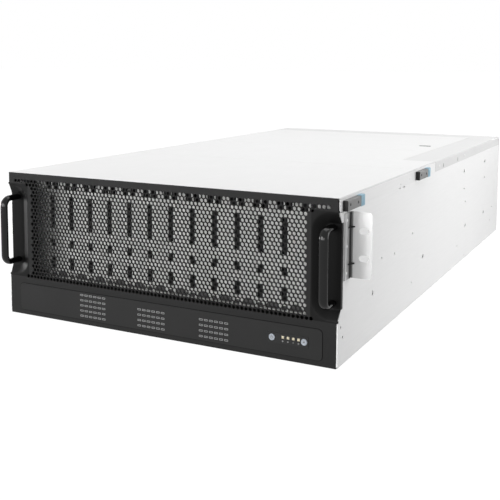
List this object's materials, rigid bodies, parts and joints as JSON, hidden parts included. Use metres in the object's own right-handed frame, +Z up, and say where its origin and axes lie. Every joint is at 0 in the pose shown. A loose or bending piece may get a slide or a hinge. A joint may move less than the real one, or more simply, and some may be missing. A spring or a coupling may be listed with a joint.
{
  "type": "disk_enclosure",
  "caption": "Top-loading rack disk enclosure with a black honeycomb bezel, two front handles, rack ears, latched lift-off covers, hot-swap power supplies and expander modules.",
  "frame": {"origin": "bottom centre of the whole part", "axes": "+X is the viewer's right seen from the front, +Y runs to the rear, +Z is up"},
  "size_m": [0.4826, 0.8694, 0.176],
  "materials": {
    "zinc_steel": "zinc-coated sheet steel, satin",
    "bezel_black": "charcoal powder coat, semi-matte",
    "handle_black": "black enamel, glossy",
    "overlay_film": "printed polyester film, matte",
    "smoked_window": "smoked polycarbonate, glossy",
    "button_silver": "silver moulding, satin",
    "light_pipe": "milky acrylic, glossy",
    "circuit_board": "glass-fibre board with solder mask",
    "socket_black": "moulded nylon, matte",
    "latch_grey": "grey coat, satin",
    "latch_black": "black coat, satin",
    "tab_blue": "light blue moulding, satin",
    "drive_metal": "cast aluminium body, satin",
    "module_case": "plated sheet case, satin",
    "fan_black": "glass-filled moulding, matte",
    "grip_black": "black coat, satin",
    "brass_post": "turned hexagon post"
  },
  "bodies": {
    "chassis": {"baseplane": "circuit_board", "baseplane_standoffs": "brass_post", "bezel_mesh": "bezel_black", "cage_dividers": "zinc_steel", "cage_front_wall": "zinc_steel", "cage_side_walls": "zinc_steel", "chassis_tub": "zinc_steel", "control_board": "circuit_board", "control_board_posts": "brass_post", "control_window": "smoked_window", "cross_rails": "zinc_steel", "drive_row_1": "drive_metal", "drive_row_2": "drive_metal", "drive_row_3": "drive_metal", "drive_row_4": "drive_metal", "drive_row_5": "drive_metal", "drive_row_6": "drive_metal", "drive_sockets": "socket_black", "fan_frames": "fan_black", "front_bezel": "bezel_black", "front_handles": "handle_black", "left_ear": "zinc_steel", "light_pipes": "light_pipe", "lower_overlay": "overlay_film", "module_shelves": "zinc_steel", "power_board": "circuit_board", "rear_bulkhead": "zinc_steel", "rear_panel": "zinc_steel", "right_ear": "zinc_steel", "top_frame": "zinc_steel"},
    "front_cover": {"front_cover": "zinc_steel", "front_latch_housings": "latch_grey"},
    "middle_cover": {"middle_cover": "zinc_steel", "middle_latch_housings": "latch_grey"},
    "rear_cover": {"rear_cover": "zinc_steel"},
    "front_left_latch": {"front_left_latch_bar": "latch_black", "front_left_latch_tab": "tab_blue"},
    "front_right_latch": {"front_right_latch_bar": "latch_black", "front_right_latch_tab": "tab_blue"},
    "middle_left_latch": {"middle_left_latch_bar": "latch_black", "middle_left_latch_tab": "tab_blue"},
    "middle_right_latch": {"middle_right_latch_bar": "latch_black", "middle_right_latch_tab": "tab_blue"},
    "power_button": {"power_button": "button_silver"},
    "locate_button": {"locate_button": "button_silver"},
    "lower_psu": {"lower_psu_case": "module_case", "lower_psu_handle": "grip_black"},
    "lower_psu_release": {"lower_psu_tab": "tab_blue"},
    "upper_psu": {"upper_psu_case": "module_case", "upper_psu_handle": "grip_black"},
    "upper_psu_release": {"upper_psu_tab": "tab_blue"},
    "expander_1": {"expander_1_case": "module_case"},
    "expander_1_lever": {"expander_1_lever": "tab_blue"},
    "expander_2": {"expander_2_case": "module_case"},
    "expander_2_lever": {"expander_2_lever": "tab_blue"},
    "fan_1": {"fan_rotor_1": "fan_black"},
    "fan_2": {"fan_rotor_2": "fan_black"},
    "fan_3": {"fan_rotor_3": "fan_black"}
  },
  "joints": [
    {"name": "front_cover_lift", "type": "slide", "parent": "chassis", "child": "front_cover", "axis": [0, 0, 1], "range_m": [0, 0.2]},
    {"name": "middle_cover_lift", "type": "slide", "parent": "chassis", "child": "middle_cover", "axis": [0, 0, 1], "range_m": [0, 0.2]},
    {"name": "rear_cover_lift", "type": "slide", "parent": "chassis", "child": "rear_cover", "axis": [0, 0, 1], "range_m": [0, 0.2]},
    {"name": "front_left_latch_slide", "type": "slide", "parent": "front_cover", "child": "front_left_latch", "axis": [0, 1, 0], "range_m": [0, 0.006], "stiffness_N_per_m": 800},
    {"name": "front_right_latch_slide", "type": "slide", "parent": "front_cover", "child": "front_right_latch", "axis": [0, 1, 0], "range_m": [0, 0.006], "stiffness_N_per_m": 800},
    {"name": "middle_left_latch_slide", "type": "slide", "parent": "middle_cover", "child": "middle_left_latch", "axis": [0, 1, 0], "range_m": [0, 0.006], "stiffness_N_per_m": 800},
    {"name": "middle_right_latch_slide", "type": "slide", "parent": "middle_cover", "child": "middle_right_latch", "axis": [0, 1, 0], "range_m": [0, 0.006], "stiffness_N_per_m": 800},
    {"name": "power_button_press", "type": "slide", "parent": "chassis", "child": "power_button", "axis": [0, 1, 0], "range_m": [0, 0.0015], "stiffness_N_per_m": 1200},
    {"name": "locate_button_press", "type": "slide", "parent": "chassis", "child": "locate_button", "axis": [0, 1, 0], "range_m": [0, 0.0015], "stiffness_N_per_m": 1200},
    {"name": "lower_psu_draw", "type": "slide", "parent": "chassis", "child": "lower_psu", "axis": [0, 1, 0], "range_m": [0, 0.2]},
    {"name": "lower_psu_release_press", "type": "slide", "parent": "lower_psu", "child": "lower_psu_release", "axis": [-1, 0, 0], "range_m": [0, 0.003], "stiffness_N_per_m": 600},
    {"name": "upper_psu_draw", "type": "slide", "parent": "chassis", "child": "upper_psu", "axis": [0, 1, 0], "range_m": [0, 0.2]},
    {"name": "upper_psu_release_press", "type": "slide", "parent": "upper_psu", "child": "upper_psu_release", "axis": [-1, 0, 0], "range_m": [0, 0.003], "stiffness_N_per_m": 600},
    {"name": "expander_1_draw", "type": "slide", "parent": "chassis", "child": "expander_1", "axis": [0, 1, 0], "range_m": [0, 0.1]},
    {"name": "expander_1_lever_turn", "type": "hinge", "parent": "expander_1", "child": "expander_1_lever", "pos_m": [-0.153, 0.41475, 0.0577], "axis": [0, 0, 1], "range_deg": [0, 75]},
    {"name": "expander_2_draw", "type": "slide", "parent": "chassis", "child": "expander_2", "axis": [0, 1, 0], "range_m": [0, 0.1]},
    {"name": "expander_2_lever_turn", "type": "hinge", "parent": "expander_2", "child": "expander_2_lever", "pos_m": [0.037, 0.41475, 0.0577], "axis": [0, 0, 1], "range_deg": [0, 75]},
    {"name": "fan_1_spin", "type": "hinge", "parent": "chassis", "child": "fan_1", "pos_m": [-0.143, 0.39055, 0.123], "axis": [0, 1, 0], "continuous": true},
    {"name": "fan_2_spin", "type": "hinge", "parent": "chassis", "child": "fan_2", "pos_m": [-0.019, 0.39055, 0.123], "axis": [0, 1, 0], "continuous": true},
    {"name": "fan_3_spin", "type": "hinge", "parent": "chassis", "child": "fan_3", "pos_m": [0.105, 0.39055, 0.123], "axis": [0, 1, 0], "continuous": true}
  ]
}
